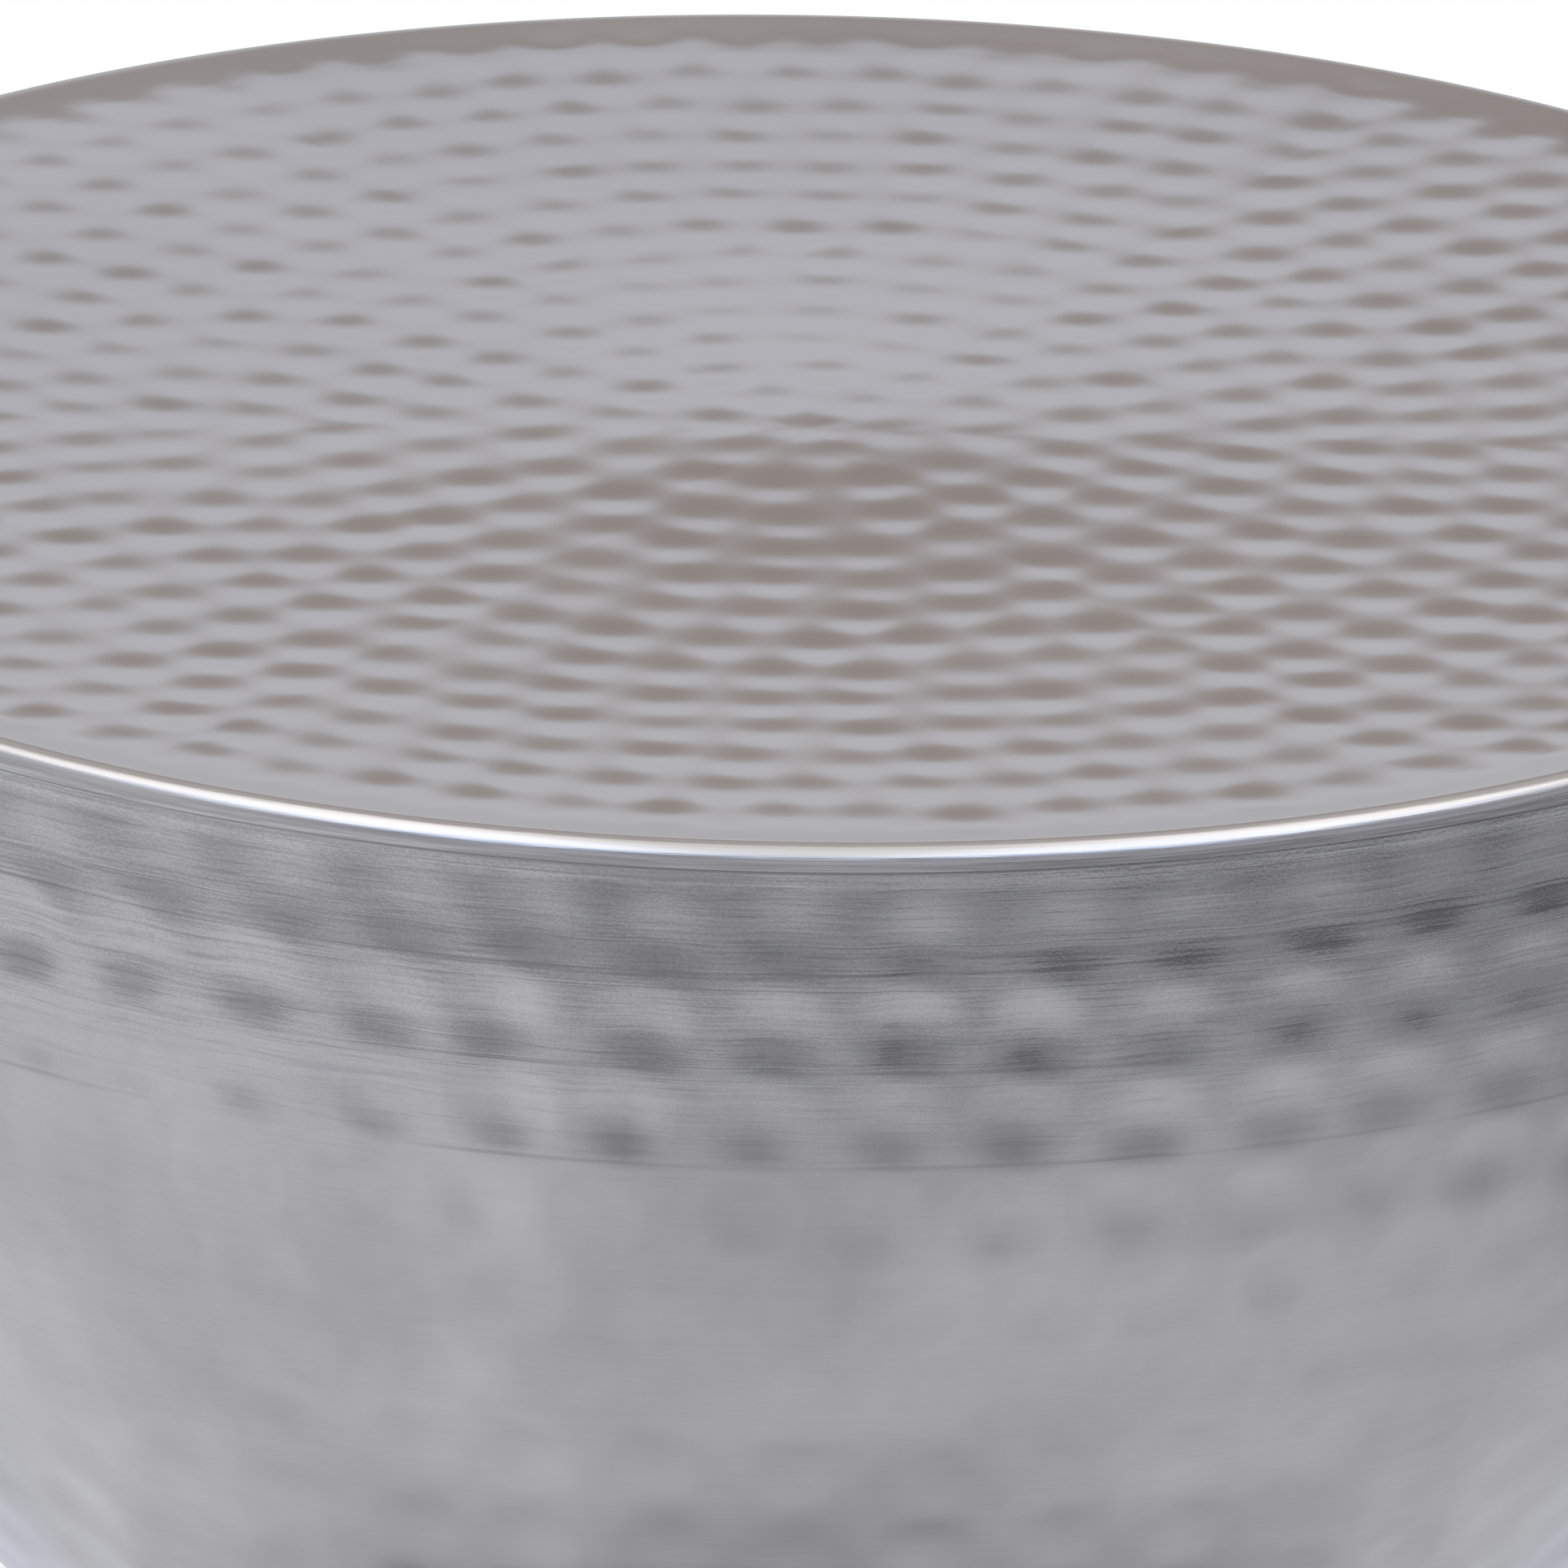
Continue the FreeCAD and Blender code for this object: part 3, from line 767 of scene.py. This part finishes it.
def makeFloor():
    own = floorSettings
    mesh = bpy.data.meshes.new("floor")
    work = bmesh.new()
    bmesh.ops.create_circle(work, cap_ends=True, segments=own["sides"], radius=own["radius"])
    work.to_mesh(mesh)
    work.free()
    floor = bpy.data.objects.new("floor", mesh)
    bpy.context.scene.collection.objects.link(floor)
    finish, sheet = newFinish("paleFloor")
    place = sheet.add("ShaderNodeTexCoord").out("Object")
    reach = sheet.length(place)
    path = sheet.add("ShaderNodeLightPath")
    isCamera = path.out("Is Camera Ray")
    isMirrored = (path.out("Is Glossy Ray") + path.out("Is Transmission Ray")).clipped()
    whiteShare = reach.ramp(own["shadowFrom"], own["shadowTo"])
    moved = sheet.add("ShaderNodeVectorMath", {"operation": "ADD"}, {0: place, 1: own["shineMiddle"]})
    shineReach = sheet.length(moved)
    ways = sheet.add("ShaderNodeSeparateXYZ", {}, {"Vector": place})
    aside, back = ways.out("X") / reach, ways.out("Y")
    # painted light: what the metal sees of the floor is a glowing pool, lifted to the sides, dropping off further
    # away, blotchy, cooler behind, with painted shade near the foot
    shine = own["shine"]
    for liftFrom, liftTo, lift in (own["leftLift"], own["rightLift"]):
        shine = aside.ramp(liftFrom, liftTo) * lift + shine
    first, second, rightwards, foot = own["firstDrop"], own["secondDrop"], own["secondSide"], own["footShade"]
    shine = shine - shineReach.ramp(*first[:2]) * first[2]
    shine = shine - shineReach.ramp(*second[:2]) * aside.ramp(*rightwards, 1.0) * second[2]
    shine = shine * (1 + (sheet.noise(place, own["glowBlotchScale"]) - 0.5) * own["glowBlotches"])
    level = isCamera + isMirrored * shine * reach.ramp(*foot, 1.0)
    paper = sheet.add("ShaderNodeBsdfDiffuse", {}, {"Color": own["tone"]})
    tint = sheet.mixed(isMirrored * back.ramp(*own["coolSpan"]), (1, 1, 1, 1), own["coolTint"])
    glow = sheet.add("ShaderNodeEmission", {}, {"Color": sheet.scaled(tint, level), "Strength": 1.0})
    share = isCamera * whiteShare + isMirrored
    shader = sheet.add("ShaderNodeMixShader", {}, {0: share, 1: paper, 2: glow})
    sheet.add("ShaderNodeOutputMaterial", {}, {"Surface": shader})
    mesh.materials.append(finish)


backgroundSettings = {
    "fill": (0.25, 0.25, 0.25, 1.0),
    "white": (1.0, 1.0, 1.0, 1.0),
    "lowPaper": (0.76, 0.76, 0.77, 1.0),
    "ceiling": (0.61, 0.525, 0.44, 1.0),
    "highCeiling": (0.95, 0.9, 0.83, 1.0),
    "panelGap": (0.6, 0.57, 0.53, 1.0),
    "panelSpan": (44.0, 56.0),
    "gapScale": 4.5,
    "gapShare": (0.52, 0.4),
    "dusk": (0.56, 0.55, 0.58, 1.0),
    "lowPaperSpan": (1.0, 8.0),
    "ceilingSpan": (30.0, 41.0),
    "duskSpan": (16.0, 34.0),
    "frontSpan": (-0.15, 0.35),
    "backPaper": 9.0,
    "paperSoftness": 0.07,
}


def makeBackground():
    own = backgroundSettings
    world = bpy.data.worlds.new("studio")
    bpy.context.scene.world = world
    world.use_nodes = True
    sheet = NodeSheet(world.node_tree)
    toward = sheet.add("ShaderNodeTexCoord").out("Generated")
    way = sheet.add("ShaderNodeSeparateXYZ", {}, {"Vector": toward})
    height, back = way.out("Z"), way.out("Y")

    def sine(degrees):
        return math.sin(math.radians(degrees))

    def over(span):
        return height.ramp(sine(span[0]), sine(span[1]))

    atFront = (-back).ramp(*own["frontSpan"])
    overPaper = (height - sine(own["backPaper"])).ramp(0.0, own["paperSoftness"])
    paper = sheet.mixed(over(own["lowPaperSpan"]), own["lowPaper"], own["white"])
    gaps = sheet.noise(toward, own["gapScale"], 1.0).ramp(*own["gapShare"]) * over(own["panelSpan"])
    panels = sheet.mixed(gaps, own["highCeiling"], own["panelGap"])
    ceiling = sheet.mixed(over(own["ceilingSpan"]), own["ceiling"], panels)
    room = sheet.mixed(overPaper, paper, ceiling)
    room = sheet.mixed(atFront * (1 - over(own["duskSpan"])), room, own["dusk"])
    path = sheet.add("ShaderNodeLightPath")
    isMirrored = (path.out("Is Glossy Ray") + path.out("Is Transmission Ray")).clipped()
    unseen = sheet.mixed(isMirrored, own["fill"], room)
    colour = sheet.mixed(path.out("Is Camera Ray"), unseen, own["white"])
    light = sheet.add("ShaderNodeBackground", {}, {"Color": colour, "Strength": 1.0})
    sheet.add("ShaderNodeOutputWorld", {}, {"Surface": light})


paperArc = {
    "radius": 0.8,
    "middle": (0.23, -0.06),
    "strips": 92,
    "startAngle": -25.0,
    "endAngle": 215.0,
    "foot": 0.56,
    "top": 0.848,
    "softness": 0.055,
    "lowLevel": 0.72,
    "lowSpan": (0.6, 0.775),
}


def makePaperArc():
    # white paper round the back and sides, seen only in the metal, where it glows as a painted reflection of lit
    # paper
    own = paperArc
    turns = np.radians(np.linspace(own["startAngle"], own["endAngle"], own["strips"] + 1))
    edge = np.column_stack([own["middle"][0] + own["radius"] * np.cos(turns),
                            own["middle"][1] + own["radius"] * np.sin(turns)])
    count = len(edge)
    places = [(x, y, z) for z in (own["foot"], own["top"]) for x, y in edge]
    mesh = bpy.data.meshes.new("paperArc")
    mesh.from_pydata(places, [], [(i, i + 1, count + i + 1, count + i) for i in range(count - 1)])
    arc = bpy.data.objects.new("paperArc", mesh)
    bpy.context.scene.collection.objects.link(arc)
    arc.visible_camera = arc.visible_diffuse = arc.visible_shadow = False
    finish, sheet = newFinish("whitePaper")
    place = sheet.add("ShaderNodeTexCoord").out("Object")
    height = sheet.add("ShaderNodeSeparateXYZ", {}, {"Vector": place}).out("Z")
    share = height.ramp(own["top"], own["top"] - own["softness"])
    clear = sheet.add("ShaderNodeBsdfTransparent", {}, {"Color": (1, 1, 1, 1)})
    # painted shade: the paper's glow is dimmer towards its foot
    level = height.ramp(*own["lowSpan"], own["lowLevel"], 1.0)
    glow = sheet.add("ShaderNodeEmission", {}, {"Color": sheet.scaled((1, 1, 1), level), "Strength": 1.0})
    shader = sheet.add("ShaderNodeMixShader", {}, {0: share, 1: clear, 2: glow})
    sheet.add("ShaderNodeOutputMaterial", {}, {"Surface": shader})
    mesh.materials.append(finish)


softboxes = {
    "height": 2.05,
    "rows": {
        "back": {"middleY": 0.0, "length": 0.7, "tint": (1.0, 0.94, 0.84), "share": 0.9},
        "front": {"middleY": -1.225, "length": 1.75, "tint": (0.93, 0.98, 1.0), "share": 1.0},
        "far": {"middleY": -2.45, "length": 0.7, "tint": (0.38, 0.65, 1.0), "share": 1.1},
    },
    "columns": {
        "Left": {"middleX": -0.95, "width": 1.3, "radiance": 1.9, "tint": (1.0, 1.0, 1.04)},
        "Middle": {"middleX": 0.0, "width": 0.6, "radiance": 0.65, "tint": (1.0, 1.0, 1.0)},
        "Right": {"middleX": 0.95, "width": 1.3, "radiance": 1.85, "tint": (1.0, 1.0, 1.04)},
        "FarLeft": {"middleX": -1.85, "width": 0.5, "radiance": 1.0, "tint": (0.42, 0.65, 1.0)},
        "FarRight": {"middleX": 1.85, "width": 0.5, "radiance": 1.0, "tint": (0.42, 0.65, 1.0)},
    },
}


def makeSoftboxes():
    for rowName, row in softboxes["rows"].items():
        for columnName, column in softboxes["columns"].items():
            lamp = bpy.data.lights.new(f"{rowName}{columnName}Softbox", "AREA")
            lamp.shape = "RECTANGLE"
            lamp.size = column["width"]
            lamp.size_y = row["length"]
            lamp.color = [first * second for first, second in zip(row["tint"], column["tint"])]
            lamp.energy = column["radiance"] * row["share"] * math.pi * column["width"] * row["length"]
            holder = bpy.data.objects.new(lamp.name, lamp)
            holder.location = (column["middleX"], row["middleY"], softboxes["height"])
            holder.visible_camera = False
            holder.visible_diffuse = rowName != "far" and not columnName.startswith("Far")
            bpy.context.scene.collection.objects.link(holder)


cameraSettings = {  # aim and distance in millimetres
    "aim": (-2.01, 0.0, 492.15),
    "distance": 4320.0,
    "elevation": 19.81,
    "roll": 0.98,
    "lens": 587.4,
    "sensor": 36.0,
    "clip": (0.1, 100.0),
}


def makeCamera():
    own = cameraSettings
    rise, roll = math.radians(own["elevation"]), math.radians(own["roll"])
    ahead = Vector((0, math.cos(rise), -math.sin(rise)))
    level = Vector((1, 0, 0))
    lift = Vector((0, math.sin(rise), math.cos(rise)))
    right = level * math.cos(roll) + lift * math.sin(roll)
    top = lift * math.cos(roll) - level * math.sin(roll)
    data = bpy.data.cameras.new("camera")
    data.sensor_width = own["sensor"]
    data.lens = own["lens"]
    data.clip_start, data.clip_end = own["clip"]
    camera = bpy.data.objects.new("camera", data)
    place = (Vector(own["aim"]) - ahead * own["distance"]) * mm
    turned = Matrix((right, top, -ahead)).transposed().to_4x4()
    camera.matrix_world = Matrix.Translation(place) @ turned
    bpy.context.scene.collection.objects.link(camera)
    bpy.context.scene.camera = camera


makeFloor()
makeBackground()
makePaperArc()
makeSoftboxes()
makeCamera()
bpy.context.scene.view_settings.view_transform = "Standard"
print("stage set")
